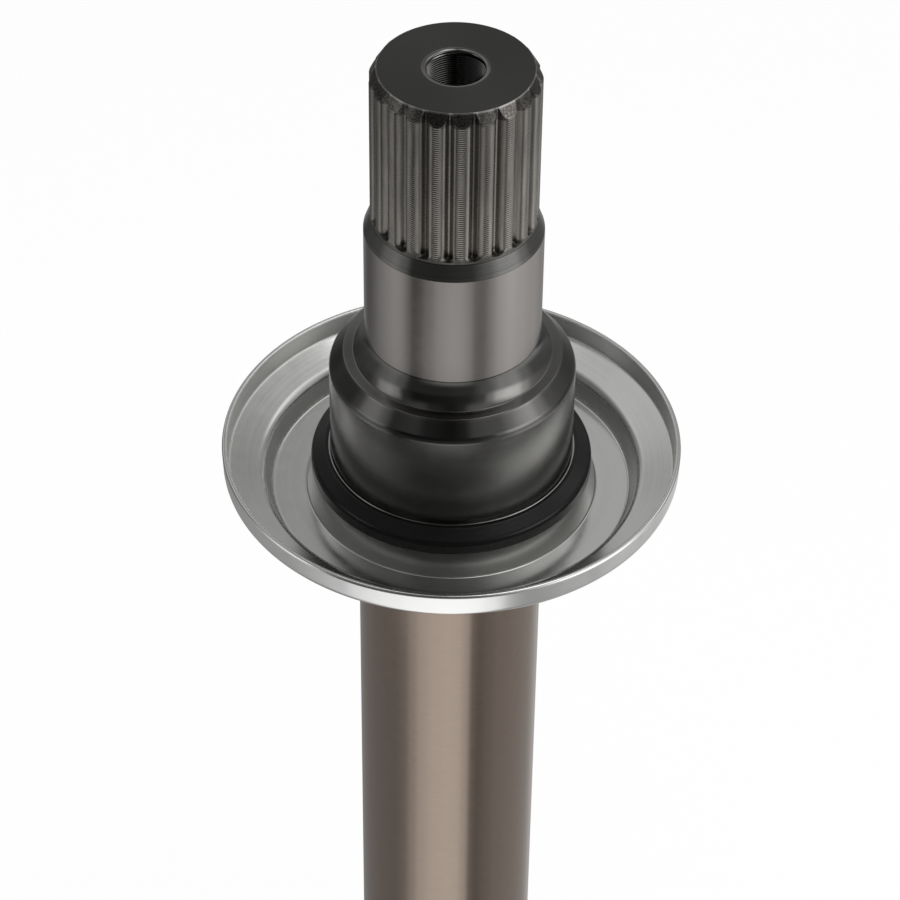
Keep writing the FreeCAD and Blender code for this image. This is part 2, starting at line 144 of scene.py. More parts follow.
class DustShieldSizes(bpy.types.PropertyGroup):
    sheet: length("Sheet", "Thickness of the pressed sheet", 1.0)
    collar_rim_radius: length("Collar rim radius", "Outside of the collar's upper rim", 26.1)
    collar_foot_radius: length("Collar foot radius", "Where the collar meets the inner flat", 27.1)
    step_foot_radius: length("Step foot radius", "Outer border of the inner flat", 33.5)
    step_top_radius: length("Step top radius", "Inner border of the outer flat", 35.0)
    step_height: length("Step height", "Height of the step", 3.95)
    lip_radius: length("Lip radius", "Corner between the outer flat and the lip", 41.5)
    lip_corner_height: length("Lip corner height", "Rise of the outer flat towards the lip", 2.1)
    lip_flare: length("Lip flare", "Radial growth of the lip", 0.15)
    lip_bend: length("Lip bend", "Inner radius of the bend below the lip", 0.5)
    tint: colour("Tint", "Satin steel of the sheet", (0.68, 0.68, 0.665))


class StudioSettings(bpy.types.PropertyGroup):
    floor_half_width: length("Floor half width", "Half the side of the floor", 4000.0)
    room_light: brightness("Room light", "Brightness of the room as metal reflects it")
    floor_light: brightness("Floor light", "Brightness of the floor as metal reflects it")
    lamp_power: FloatProperty(
        name="Lamp power",
        description="Power of the soft lamp overhead",
        default=20.0,
        min=0.0,
        subtype="POWER",
        unit="POWER",
    )


# Node trees written as Python expressions


class Value:
    """An output socket that takes part in arithmetic by adding Math nodes to its tree."""

    def __init__(self, graph, socket):
        self.graph = graph
        self.socket = socket

    def math(self, operation, *others):
        return self.graph.math(operation, self, *others)

    def __add__(self, other):
        return self.math("ADD", other)

    def __sub__(self, other):
        return self.math("SUBTRACT", other)

    def __mul__(self, other):
        return self.math("MULTIPLY", other)

    def __truediv__(self, other):
        return self.math("DIVIDE", other)

    def __radd__(self, other):
        return self.graph.math("ADD", other, self)

    def __rsub__(self, other):
        return self.graph.math("SUBTRACT", other, self)

    def __rmul__(self, other):
        return self.graph.math("MULTIPLY", other, self)

    def __neg__(self):
        return self.graph.math("SUBTRACT", 0.0, self)

    def rises(self, low, high):
        """Nothing below low, one above high, and a soft step between them."""
        ranged = self.graph.node(
            "ShaderNodeMapRange",
            {"interpolation_type": "SMOOTHSTEP"},
            {"Value": self, "From Min": low, "From Max": high},
        )
        return self.graph.out(ranged, "Result")

    def within(self, low, high, soft):
        """One between low and high, nothing outside, with soft borders."""
        return self.rises(low - soft, low + soft) * (1.0 - self.rises(high - soft, high + soft))


class Graph:
    """A node tree whose nodes are added with their settings and sockets in one call."""

    def __init__(self, tree):
        self.tree = tree
        tree.nodes.clear()

    def node(self, kind, settings=None, sockets=None):
        made = self.tree.nodes.new(kind)
        for name, setting in (settings or {}).items():
            setattr(made, name, setting)
        for name, value in (sockets or {}).items():
            self.feed(made.inputs[name], value)
        return made

    def feed(self, socket, value):
        if isinstance(value, Value):
            self.tree.links.new(value.socket, socket)
        else:
            socket.default_value = value

    def out(self, node, name=0):
        return Value(self, node.outputs[name])

    def math(self, operation, *values):
        made = self.node("ShaderNodeMath", {"operation": operation}, dict(enumerate(values)))
        return self.out(made)

    def vector(self, operation, *values):
        made = self.node("ShaderNodeVectorMath", {"operation": operation}, dict(enumerate(values)))
        return self.out(made)

    def scaled(self, vector, factor):
        """A place or a colour times a number."""
        sockets = {0: vector, "Scale": factor}
        return self.out(self.node("ShaderNodeVectorMath", {"operation": "SCALE"}, sockets))

    def combined(self, x, y, z):
        return self.out(self.node("ShaderNodeCombineXYZ", None, {"X": x, "Y": y, "Z": z}))

    def separated(self, vector):
        made = self.node("ShaderNodeSeparateXYZ", None, {0: vector})
        return [self.out(made, axis) for axis in "XYZ"]

    def mixed(self, factor, first, second):
        """Goes from the first colour to the second as the factor goes from nothing to one."""
        made = self.node("ShaderNodeMix", {"data_type": "RGBA"}, {"Factor": factor})
        self.feed(made.inputs[6], first if isinstance(first, Value) else (*first, 1.0))
        self.feed(made.inputs[7], second if isinstance(second, Value) else (*second, 1.0))
        return self.out(made, 2)

    def texture(self, dimensions, place, scale, detail, roughness):
        sockets = {**place, "Scale": scale, "Detail": detail, "Roughness": roughness}
        made = self.node("ShaderNodeTexNoise", {"noise_dimensions": dimensions}, sockets)
        return self.out(made, "Fac")

    def noise(self, place, scale, detail, roughness):
        return self.texture("3D", {"Vector": place}, scale, detail, roughness)

    def lines(self, along, scale, detail):
        """Noise that varies along one number alone, for tool marks."""
        return self.texture("1D", {"W": along}, scale, detail, 0.6)


# Sections and outlines


def arc_reach(corners, index):
    """Length of line that the rounding of a corner takes on each side."""
    if index in (0, len(corners) - 1) or corners[index][2] == 0:
        return 0.0
    here = Vector(corners[index][:2])
    back = Vector(corners[index - 1][:2]) - here
    ahead = Vector(corners[index + 1][:2]) - here
    return corners[index][2] / math.tan(back.angle(ahead) / 2)


def rounded_path(corners):
    """Points of a half section from (radius, height, rounding) corners, in metres.

    Beside each arc a guard point keeps the shading of the straight part flat.
    """
    points = []
    reaches = [arc_reach(corners, index) for index in range(len(corners))]
    for index, (radius, height, rounding) in enumerate(corners):
        here = Vector((radius, height))
        if reaches[index] == 0:
            points.append(here)
            continue
        back = Vector(corners[index - 1][:2]) - here
        ahead = Vector(corners[index + 1][:2]) - here
        room_before = back.length - reaches[index] - reaches[index - 1]
        room_after = ahead.length - reaches[index] - reaches[index + 1]
        back.normalize()
        ahead.normalize()
        half = back.angle(ahead) / 2
        centre = here + (back + ahead).normalized() * (rounding / math.sin(half))
        start = here + back * reaches[index] - centre
        end = here + ahead * reaches[index] - centre
        turn = (math.pi - 2 * half) * (1 if start.x * end.y > start.y * end.x else -1)
        steps = max(2, math.ceil(abs(turn) / TURN_STEP))
        if room_before > 3 * GUARD:
            points.append(here + back * (reaches[index] + GUARD))
        for step in range(steps + 1):
            angle = turn * step / steps
            cosine, sine = math.cos(angle), math.sin(angle)
            arm = Vector((start.x * cosine - start.y * sine, start.x * sine + start.y * cosine))
            points.append(centre + arm)
        if room_after > 3 * GUARD:
            points.append(here + ahead * (reaches[index] + GUARD))
    return points


def point_object(name, points, attributes):
    """A helper mesh of loose points with named numbers on them."""
    mesh = bpy.data.meshes.new(name)
    mesh.from_pydata(points, [], [])
    for key, values in attributes.items():
        mesh.attributes.new(key, "FLOAT", "POINT").data.foreach_set("value", values)
    made = bpy.data.objects.new(name, mesh)
    bpy.context.scene.collection.objects.link(made)
    return made


def plain_sector(columns, sectors):
    """The outline of one sector of a plain turned piece: an arc on a circle of one metre."""
    step = 2 * math.pi / sectors / columns
    return [(math.cos(step * index), math.sin(step * index), 0.0) for index in range(columns + 1)]


def turned_tree():
    """Turns a half section about the Z axis, one sector at a time, and repeats the sector.

    Each point of the section has a radius and a height, and three shares. They add the outline's
    own radius, the height at which the end chamfer cuts it and the lift of a gap's end.
    """
    tree = bpy.data.node_groups.new("Turned piece", "GeometryNodeTree")
    tree.is_modifier = True
    for name, way, kind in (
        ("Section", "INPUT", "Geometry"),
        ("Sector outline", "INPUT", "Object"),
        ("Sectors", "INPUT", "Int"),
        ("First sector angle", "INPUT", "Float"),
        ("Piece", "OUTPUT", "Geometry"),
    ):
        tree.interface.new_socket(name, in_out=way, socket_type=f"NodeSocket{kind}")

    graph = Graph(tree)
    given = graph.node("NodeGroupInput")
    section = graph.out(given, "Section")
    helper = graph.out(given, "Sector outline")
    outline = graph.out(graph.node("GeometryNodeObjectInfo", None, {"Object": helper}), "Geometry")

    def point_count(geometry):
        made = graph.node("GeometryNodeAttributeDomainSize", None, {"Geometry": geometry})
        return graph.out(made, "Point Count")

    stations, columns = point_count(section), point_count(outline)
    grid = graph.node("GeometryNodeMeshGrid", None, {"Vertices X": columns, "Vertices Y": stations})

    number = graph.out(graph.node("GeometryNodeInputIndex"))
    column = (number / stations).math("FLOOR")
    station = number - column * stations
    place = graph.out(graph.node("GeometryNodeInputPosition"))

    def sampled(geometry, value, index, kind):
        made = graph.node(
            "GeometryNodeSampleIndex",
            {"data_type": kind, "domain": "POINT"},
            {"Geometry": geometry, "Value": value, "Index": index},
        )
        return graph.out(made, "Value")

    def number_on(geometry, key, index):
        made = graph.node("GeometryNodeInputNamedAttribute", {"data_type": "FLOAT"}, {"Name": key})
        return sampled(geometry, graph.out(made, "Attribute"), index, "FLOAT")

    section_place = sampled(section, place, station, "FLOAT_VECTOR")
    section_radius, _, height = graph.separated(section_place)
    outline_place = sampled(outline, place, column, "FLOAT_VECTOR")
    outline_length = graph.node("ShaderNodeVectorMath", {"operation": "LENGTH"}, {0: outline_place})
    outline_radius = graph.out(outline_length, "Value")
    radius = section_radius + outline_radius * number_on(section, "outline_share", station)
    for rise, share in (("cut_height", "cut_share"), ("end_lift", "lift_share")):
        height = height + number_on(outline, rise, column) * number_on(section, share, station)
    flat = graph.scaled(graph.vector("NORMALIZE", outline_place), radius)
    position = graph.vector("ADD", flat, graph.combined(0.0, 0.0, height))
    sockets = {"Geometry": graph.out(grid, "Mesh"), "Position": position}
    shaped = graph.node("GeometryNodeSetPosition", None, sockets)

    sectors = graph.out(given, "Sectors")
    centres = graph.node("GeometryNodePoints", None, {"Count": sectors})
    turn = graph.out(given, "First sector angle") + number * (2 * math.pi) / sectors
    euler = graph.combined(0.0, 0.0, turn)
    rotation = graph.node("FunctionNodeEulerToRotation", None, {"Euler": euler})
    sources = {"Points": centres, "Instance": shaped, "Rotation": rotation}
    sockets = {name: graph.out(node) for name, node in sources.items()}
    copies = graph.node("GeometryNodeInstanceOnPoints", None, sockets)
    real = graph.node("GeometryNodeRealizeInstances", None, {"Geometry": graph.out(copies)})
    sockets = {"Geometry": graph.out(real), "Distance": MERGE_DISTANCE}
    joined = graph.node("GeometryNodeMergeByDistance", None, sockets)
    graph.node("NodeGroupOutput", None, {"Piece": graph.out(joined)})
    return tree


def turned_mesh(name, stations, outline, outline_attributes, sectors, first_angle, material):
    """Runs the turning tree on a section and returns the piece as an object with a plain mesh."""
    radii, heights, *shares = zip(*stations)
    points = [(radius, 0.0, height) for radius, height in zip(radii, heights)]
    share_names = ("outline_share", "cut_share", "lift_share")
    piece = point_object(name, points, dict(zip(share_names, shares)))
    helper = point_object(f"{name}_outline", outline, outline_attributes)
    tree = bpy.data.node_groups.get("Turned piece") or turned_tree()
    modifier = piece.modifiers.new("Turned piece", "NODES")
    modifier.node_group = tree
    inputs = {"Sector outline": helper, "Sectors": sectors, "First sector angle": first_angle}
    for item in tree.interface.items_tree:
        if item.name in inputs:
            modifier[item.identifier] = inputs[item.name]
    graph_state = bpy.context.evaluated_depsgraph_get()
    mesh = bpy.data.meshes.new_from_object(piece.evaluated_get(graph_state), depsgraph=graph_state)
    piece.modifiers.clear()
    raw = piece.data
    piece.data = mesh
    bpy.data.meshes.remove(raw)
    mesh.name = name
    mesh.materials.clear()
    mesh.materials.append(material)
    bpy.data.objects.remove(helper)
    if not mesh.polygons:
        raise RuntimeError(f"{name} came out empty")
    return piece


def plain_stations(points):
    return [(point.x, point.y, 0.0, 0.0, 0.0) for point in points]


def finish_mesh(piece, shell):
    """Checks that the piece is closed, points its faces outwards and marks its sharp edges."""
    bmesh.ops.remove_doubles(shell, verts=shell.verts, dist=MERGE_DISTANCE)
    bmesh.ops.dissolve_degenerate(shell, edges=shell.edges, dist=MERGE_DISTANCE)
    bmesh.ops.recalc_face_normals(shell, faces=shell.faces)
    open_edges = sum(1 for edge in shell.edges if not edge.is_manifold)
    if open_edges:
        raise RuntimeError(f"{piece.name} has {open_edges} open edges")
    if shell.calc_volume(signed=True) < 0:
        bmesh.ops.reverse_faces(shell, faces=shell.faces)
    shell.to_mesh(piece.data)
    shell.free()
    piece.data.shade_smooth()
    piece.data.set_sharp_from_angle(angle=SHARP_ANGLE)


def hand_over(piece, node):
    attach(piece, "root")
    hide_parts(node)


# The ring and the shield


def make_plain_piece(name, corners, columns, material, node):
    """A turned piece without teeth, from the corners of its closed half section."""
    sectors = 8
    outline = plain_sector(columns, sectors)
    still = [0.0] * len(outline)
    piece = turned_mesh(
        name,
        plain_stations(rounded_path(corners)),
        outline,
        {"cut_height": still, "end_lift": still},
        sectors,
        0.0,
        material,
    )
    shell = bmesh.new()
    shell.from_mesh(piece.data)
    finish_mesh(piece, shell)
    hand_over(piece, node)


def sheet_underside(upper, thickness, bore, roundings):
    """Corners of the lower side, one thickness below the upper lines."""
    shifted = []
    for start, end in zip(upper, upper[1:]):
        along = (Vector(end[:2]) - Vector(start[:2])).normalized()
        shifted.append((Vector(start[:2]) + Vector((along.y, -along.x)) * thickness, along))
    first, first_along = shifted[0]
    points = [first + first_along * ((bore - first.x) / first_along.x)]
    for (one, one_along), (other, other_along) in zip(shifted, shifted[1:]):
        cross = one_along.x * other_along.y - one_along.y * other_along.x
        gap = other - one
        points.append(one + one_along * ((gap.x * other_along.y - gap.y * other_along.x) / cross))
    last, last_along = shifted[-1]
    points.append(last + last_along * ((upper[-1][1] - last.y) / last_along.y))
    return [(point.x, point.y, rounding) for point, rounding in zip(points, roundings)]


# The shaft's own shape


def tooth_outline(size):
    """One pitch of the spline seen from above, with a gap in its middle along the X axis."""
    tip, root = size.tip_radius, size.root_radius
    pitch_half = math.pi / size.teeth
    crest_half = size.crest_width / 2 / tip
    mouth_y = tip * math.sin(pitch_half - crest_half)
    mouth = Vector((math.sqrt(tip**2 - mouth_y**2), mouth_y))
    foot_y = size.root_width / 2
    foot = Vector((math.sqrt(root**2 - foot_y**2), foot_y))
    chord = mouth - foot
    towards_tooth = Vector((-chord.y, chord.x)).normalized()
    rise = math.sqrt(size.flank_radius**2 - (chord.length / 2) ** 2)
    centre = (foot + mouth) / 2 + towards_tooth * rise
    first = math.atan2(foot.y - centre.y, foot.x - centre.x)
    last = math.atan2(mouth.y - centre.y, mouth.x - centre.x)
    turn = (last - first + math.pi) % (2 * math.pi) - math.pi

    half = [Vector((root, 0.0)), Vector((root, foot_y * 0.6))]
    rounded_share = size.crest_reach / (abs(turn) * size.flank_radius)
    for share in (0.08, 0.3, 0.55, 1 - rounded_share):
        angle = first + turn * share
        half.append(centre + size.flank_radius * Vector((math.cos(angle), math.sin(angle))))
    crest_start = pitch_half - crest_half + size.crest_reach / tip
    below, beyond = half[-1], tip * Vector((math.cos(crest_start), math.sin(crest_start)))
    for share in (0.25, 0.5, 0.75, 1.0):
        half.append(below.lerp(mouth, share).lerp(mouth.lerp(beyond, share), share))
    half.append(tip * Vector((math.cos(pitch_half), math.sin(pitch_half))))
    upper = [(point.x, point.y, 0.0) for point in half]
    lower = [(x, -y, z) for x, y, z in reversed(upper[1:])]
    return lower + upper


def end_profile(size):
    """The upper end's half section: the flat, its rounded edge and the chamfer down to the tips."""
    return rounded_path(
        [
            (size.end_face_radius - 1.0 * MM, SHAFT_TOP, 0.0),
            (size.end_face_radius, SHAFT_TOP, size.rim_rounding),
            (size.tip_radius, SHAFT_TOP - size.tooth_chamfer, 0.0),
        ]
    )


def height_on(profile, radius):
    """Height of a half section at a radius."""
    for start, end in zip(profile, profile[1:]):
        if start.x <= radius <= end.x + MERGE_DISTANCE:
            share = (radius - start.x) / (end.x - start.x)
            return start.y + (end.y - start.y) * share
    raise RuntimeError(f"No end profile at radius {radius}")


def shaft_stations(size):
    """The shaft's half section from the rim of its end face down to the rim of its foot."""
    rim = [point for point in end_profile(size) if point.x < size.root_radius - 0.04 * MM]
    stations = plain_stations(rim)
    stations += [(0.0, 0.0, 1.0, 1.0, 0.0), (0.0, -GUARD, 1.0, 1.0, 0.0)]

    teeth_foot = SHAFT_TOP - size.spline_length
    gap_end = teeth_foot + 0.4 * MM
    pocket_height, pocket_steps = 0.7 * MM, 6
    stations.append((0.0, gap_end + pocket_height + 0.3 * MM, 1.0, 0.0, 1.0))
    for step in range(pocket_steps + 1):
        angle = math.pi / 2 * step / pocket_steps
        share = math.cos(angle)
        height = gap_end + pocket_height * (1 - math.sin(angle))
        stations.append((size.tip_radius * (1 - share), height, share, 0.0, 1.0))

    journal, seat, bar = size.journal_radius, size.seat_radius, size.bar_radius
    neck = size.journal_foot
    scribed = journal - 0.07 * MM
    relief, relief_top = seat - 0.3 * MM, 266.6 * MM
    ring_land, ring_land_top = seat + 0.4 * MM, 265.9 * MM
    collar_land, collar_land_height = seat + 2.5 * MM, 7.1 * MM
    bar_top, foot_chamfer = 244.05 * MM, 1.5 * MM
    below = [
        (size.tip_radius, teeth_foot + 0.3 * MM, 0.0),
        (size.tip_radius, teeth_foot, 0.25 * MM),
        (journal, teeth_foot - 2.95 * MM, 0.14 * MM),
        (journal, neck, 0.0),
        (scribed, neck - 0.05 * MM, 0.0),
        (scribed, neck - 0.25 * MM, 0.0),
        (journal, neck - 2.98 * MM, 7.0 * MM),
        (journal + 2.1 * MM, neck - 5.17 * MM, 0.3 * MM),
        (seat - 2.6 * MM, neck - 5.47 * MM, 0.28 * MM),
        (seat, neck - 8.47 * MM, 2.0 * MM),
        (seat, relief_top, 0.1 * MM),
        (relief, relief_top - 0.15 * MM, 0.0),
        (relief, ring_land_top, 0.0),
        (ring_land, ring_land_top, 0.12 * MM),
        (ring_land, RING_FOOT, 0.0),
        (collar_land, RING_FOOT, 0.0),
        (collar_land, RING_FOOT - collar_land_height, 0.3 * MM),
        (bar, bar_top, 6.0 * MM),
        (bar, foot_chamfer, 0.2 * MM),
        (bar - foot_chamfer, SHAFT_FOOT, 0.0),
    ]
    return stations + plain_stations(rounded_path(below))


def on_circle(radius, angle, height):
    return radius * math.cos(angle), radius * math.sin(angle), height


def ring_of_points(shell, radius, height, count):
    step = 2 * math.pi / count
    return [shell.verts.new(on_circle(radius, step * index, height)) for index in range(count)]


def join_rings(shell, first, second):
    """Quads between two rings of as many points."""
    for index in range(len(first)):
        after = (index + 1) % len(first)
        shell.faces.new((first[index], first[after], second[after], second[index]))


def zip_rings(shell, first, second):
    """Triangles between two level rings with different counts, both sorted by angle."""

    def sorted_ring(ring):
        turned = [(math.atan2(vert.co.y, vert.co.x) % (2 * math.pi), vert) for vert in ring]
        turned.sort(key=lambda pair: pair[0])
        turned.append((turned[0][0] + 2 * math.pi, turned[0][1]))
        return turned

    first, second = sorted_ring(first), sorted_ring(second)
    one, other = 0, 0
    while one < len(first) - 1 or other < len(second) - 1:
        here, there = first[one][1], second[other][1]
        second_done = other == len(second) - 1
        if second_done or (one < len(first) - 1 and first[one + 1][0] <= second[other + 1][0]):
            one += 1
            shell.faces.new((here, first[one][1], there))
        else:
            other += 1
            shell.faces.new((here, second[other][1], there))


def end_rim(shell, height):
    """The open border of the turned outside at one end."""
    rim = set()
    for edge in shell.edges:
        if edge.is_boundary and all(abs(vert.co.z - height) < 0.01 * MM for vert in edge.verts):
            rim.update(edge.verts)
    return list(rim)


def bore_tapped_hole(shell, size, columns=72):
    """The tapped hole: a rounded mouth, a helical thread, a plain floor and a drill point."""
    core = size.thread_core_radius
    rim = ring_of_points(shell, size.mouth_radius + GUARD, SHAFT_TOP, columns)
    zip_rings(shell, end_rim(shell, SHAFT_TOP), rim)
    mouth_steps = 9
    for step in range(mouth_steps + 1):
        angle = math.pi / 2 * step / mouth_steps
        radius = core + (size.mouth_radius - core) * (1 - math.sin(angle))
        height = SHAFT_TOP - size.mouth_depth * (1 - math.cos(angle))
        ring = ring_of_points(shell, radius, height, columns)
        join_rings(shell, rim, ring)
        rim = ring

    # One turn of the thread, as shares of its pitch and of its depth
    shape = ((0.0, 1.0), (0.2, 1.0), (0.5, 0.0), (0.7, 0.0))
    turns, steps = round(size.thread_length / size.thread_pitch), len(shape)
    last_row = turns * steps
    runout = 0.8
    start = SHAFT_TOP - size.mouth_depth - GUARD
    thread = []
    for column in range(columns):
        turned = column / columns
        rows = []
        for row in range(last_row + 1):
            share, depth = shape[row % steps]
            fade = max(0.0, min(1.0, (row // steps + turned) / runout, turns - row / steps))
            radius = core + size.thread_depth * depth * fade
            height = start - size.thread_pitch * (row // steps + share + turned)
            rows.append(shell.verts.new(on_circle(radius, 2 * math.pi * turned, height)))
        thread.append(rows)
    after = ring_of_points(shell, core, start - size.thread_pitch * (turns + 1) - GUARD, columns)
    for column in range(columns):
        beside = (column + 1) % columns
        shift = steps if beside == 0 else 0
        one, other = thread[column], thread[beside]
        for row in range(last_row - shift):
            shell.faces.new((one[row], other[row + shift], other[row + shift + 1], one[row + 1]))
        shell.faces.new([rim[column], rim[beside], *other[: shift + 1], one[0]])
        tail = one[last_row - shift :]
        shell.faces.new([after[beside], after[column], *reversed(tail), other[last_row]])

    floor = SHAFT_TOP - size.hole_depth
    low = ring_of_points(shell, core, floor, columns)
    join_rings(shell, after, low)
    drill_half_angle = math.radians(59)
    point = shell.verts.new((0.0, 0.0, floor - core / math.tan(drill_half_angle)))
    for column in range(columns):
        shell.faces.new((low[column], low[(column + 1) % columns], point))


def bore_turning_centre(shell, columns=48):
    """The lathe's centre drilling in the foot."""
    rim = ring_of_points(shell, 4.0 * MM, SHAFT_FOOT, columns)
    zip_rings(shell, end_rim(shell, SHAFT_FOOT), rim)
    for radius, height in ((1.6, 4.157), (1.6, 8.0)):
        ring = ring_of_points(shell, radius * MM, SHAFT_FOOT + height * MM, columns)
        join_rings(shell, rim, ring)
        rim = ring
    shell.faces.new(rim)


# Materials


def shader_graph(name):
    material = bpy.data.materials.new(name)
    material.use_nodes = True
    return material, Graph(material.node_tree)


def close_material(graph, colour_and_shade, roughness, relief, relief_depth, constants):
    """Adds the surface shader and the output. The relief's depth is in millimetres."""
    sockets = {"Distance": relief_depth * MM, "Height": relief}
    varying = {
        "Base Color": graph.scaled(*colour_and_shade),
        "Roughness": roughness,
        "Normal": graph.out(graph.node("ShaderNodeBump", None, sockets)),
    }
    surface = graph.node("ShaderNodeBsdfPrincipled", None, {**constants, **varying})
    graph.node("ShaderNodeOutputMaterial", None, {"Surface": graph.out(surface)})


def position_parts(graph, unit=MM):
    """Object coordinates in a unit: the place, its three parts and its radius."""
    coordinates = graph.out(graph.node("ShaderNodeTexCoord"), "Object")
    place = graph.scaled(coordinates, 1 / unit)
    x, y, z = graph.separated(place)
    return place, x, y, z, (x * x + y * y).math("SQRT")


# Zones of the shaft: the lower and upper border and the softness of both, in millimetres
ZONES = {
    "rim": (349.78, 349.985, 0.012),
    "teeth": (319.25, 349.8, 0.03),
    "facet": (347.6, 349.7, 0.05),
    "ridged": (320.0, 348.0, 0.6),
    "foot": (319.0, 320.1, 0.2),
    "cone": (316.3, 319.1, 0.1),
    "journal": (293.85, 316.2, 0.06),
    "scribed": (293.55, 293.87, 0.08),
    "lead_in": (285.2, 288.2, 0.3),
    "seat": (266.3, 284.6, 0.6),
    "land_edge": (265.75, 266.0, 0.05),
}
RIDGE_PITCH = 0.43


def shaft_material(size, finish):
    """Turned steel whose finish changes from zone to zone along the shaft, with painted highlights
    and painted shade in some zones.
    """
    material, graph = shader_graph("Turned shaft steel")
    place, x, y, z, radius = position_parts(graph)
    along = radius - z
    marks = graph.lines(along, 3.2, 3.0)
    broad = graph.lines(along, 0.35, 1.0)
    mottle = graph.noise(place, 0.5, 3.0, 0.6)
    grain = graph.noise(place, 3.0, 2.0, 0.65)
    streaks = graph.noise(graph.combined(x, y, 0.08 * z), 1.6, 2.0, 0.5)

    zone = {name: z.within(*borders) for name, borders in ZONES.items()}
    outside = radius.rises(8.0, 10.0)
    end_face = z.rises(349.975, 349.99)
    hole = (1.0 - radius.rises(5.6, 7.2)) * z.rises(300.0, 310.0)
    bar = 1.0 - z.rises(252.0, 256.0)
    journal, seat = zone["journal"], zone["seat"]
    rim, teeth, foot, cone = (zone[name] * outside for name in ("rim", "teeth", "foot", "cone"))
    facet = zone["facet"] * outside * (1.0 - radius.rises(14.6, 15.0))
    lead_in = zone["lead_in"] * radius.rises(19.0, 20.5)
    # Painted highlight: a bright thin line on the edge of the land that the ring sits on
    land_edge = zone["land_edge"] * radius.rises(22.6, 22.75)
    # Painted shade in the gap ends, where the pockets meet the foot of the teeth
    painted_pocket_shade = (1.0 - z.rises(319.6, 321.4)) * (1.0 - radius.rises(14.2, 14.8)) * teeth
    pitch = (y.math("ARCTAN2", x) - size.first_gap) * (size.teeth / (2 * math.pi))
    crest = teeth * pitch.math("FRACT").within(0.37, 0.6, 0.07)
    patchy = graph.noise(place, 0.12, 1.0, 0.5).rises(0.34, 0.5)
    # The ridges are tool marks in the relief; in the colour they are also painted as light crests
    # and dark valleys, a painted shading of the marks
    ridges = (z * (2 * math.pi / RIDGE_PITCH)).math("SINE") * crest * zone["ridged"] * patchy

    tint = finish.neck
    for mask, zone_tint in (
        (end_face, finish.end_face),
        (seat, finish.seat),
        (teeth, finish.teeth),
        (journal, finish.journal),
        (bar, finish.bar),
    ):
        tint = graph.mixed(mask, tint, zone_tint)
    shade = 0.86 + 0.16 * marks + 0.12 * mottle
    shade = shade - teeth * (0.1 * (grain - 0.5) + 0.9 * (streaks - 0.5))
    shade = shade * (1.0 - facet * (0.5 - 1.6 * (grain - 0.5)))
    shade = shade * (1.0 + cone * (1.2 * marks - 0.4))
    # Painted light: the teeth are lighter towards their foot
    shade = shade * (1.0 + 0.3 * teeth * (1.0 - z.rises(322.0, 342.0)))
    # Painted highlight on the rounded rim of the end face, and a slight painted brightening in and
    # around the tapped hole
    shade = shade * (1.0 + 0.9 * rim + 0.12 * hole)
    # Painted shade in the scribed groove at the journal's foot, a painted highlight on the land's
    # edge and painted shade in the gap ends
    for change in (-0.6 * zone["scribed"], 1.6 * land_edge, -0.4 * painted_pocket_shade, -0.3 * lead_in):
        shade = shade * (1.0 + change)
    # Painted shade at the foot of the teeth, where they meet the cone, and the ridges' painted
    # shading
    shade = shade * (1.0 - 0.35 * foot) * (1.0 + 0.6 * ridges)

    roughness = 0.12 + 0.08 * (mottle - 0.5) + 0.12 * (marks - 0.5)
    roughness = roughness + 0.28 * end_face + 0.15 * teeth + 0.09 * journal + 0.07 * seat
    roughness = roughness + 0.03 * bar + 0.25 * rim + 0.06 * facet + 0.15 * foot
    relief = (0.3 - 0.2 * seat) * marks + 0.2 * broad + 1.5 * ridges
    constants = {"Metallic": 1.0, "Anisotropic": 0.5, "Anisotropic Rotation": 0.25}
    close_material(graph, (tint, shade), roughness, relief, 0.012, constants)
    return material


def ring_material(tint):
    """Black oxide on turned steel, with painted light on its outer wall."""
    material, graph = shader_graph("Black ring finish")
    place, _, _, z, radius = position_parts(graph)
    marks = graph.lines(radius - z, 4.0, 3.0)
    mottle = graph.noise(place, 1.4, 3.0, 0.6)
    wall = 1.0 - z.rises(263.2, 263.7)
    # Painted light: the ring's outer wall is made lighter than its dark top
    shade = (0.7 + 0.35 * marks + 0.25 * mottle) * (1.0 + 2.5 * wall)
    roughness = 0.16 + 0.1 * marks + 0.08 * mottle
    relief = marks + 0.3 * mottle
    constants = {"Metallic": 0.0, "Specular IOR Level": 0.28}
    close_material(graph, (tint, shade), roughness, relief, 0.005, constants)
    return material


def shield_material(tint):
    """Satin sheet with fine turned lines; painted light on the lip and its inner wall, painted
    shade on the step and the collar.
    """
    material, graph = shader_graph("Satin shield steel")
    place, _, _, z, radius = position_parts(graph)
    along = radius + 0.6 * z
    marks = graph.lines(along, 1.2, 1.5)
    broad = graph.lines(along, 0.4, 1.0)
    mottle = graph.noise(place, 0.3, 2.0, 0.6)
    collar = 1.0 - radius.rises(27.0, 27.5)
    step = radius.within(33.7, 34.8, 0.25)
    inner_wall = radius.within(41.15, 42.0, 0.1)
    lip = radius.rises(42.2, 42.55)
    shade = 0.84 + 0.06 * marks + 0.06 * broad + 0.12 * mottle
    # Painted light: the lip's outside and its inner wall are made lighter
    shade = shade * (1.0 + 0.52 * lip + 0.35 * inner_wall)
    # Painted shade on the step's wall and on the collar below the ring
    shade = shade * (1.0 - 0.24 * step) * (1.0 - 0.2 * collar)
    roughness = 0.13 + 0.08 * mottle + 0.04 * marks + 0.2 * inner_wall + 0.14 * step
    relief = (marks + 0.5 * broad) * (1.0 - inner_wall)
    constants = {"Metallic": 1.0, "Anisotropic": 0.35, "Anisotropic Rotation": 0.25}
    close_material(graph, (tint, shade), roughness, relief, 0.004, constants)
    return material


# The studio


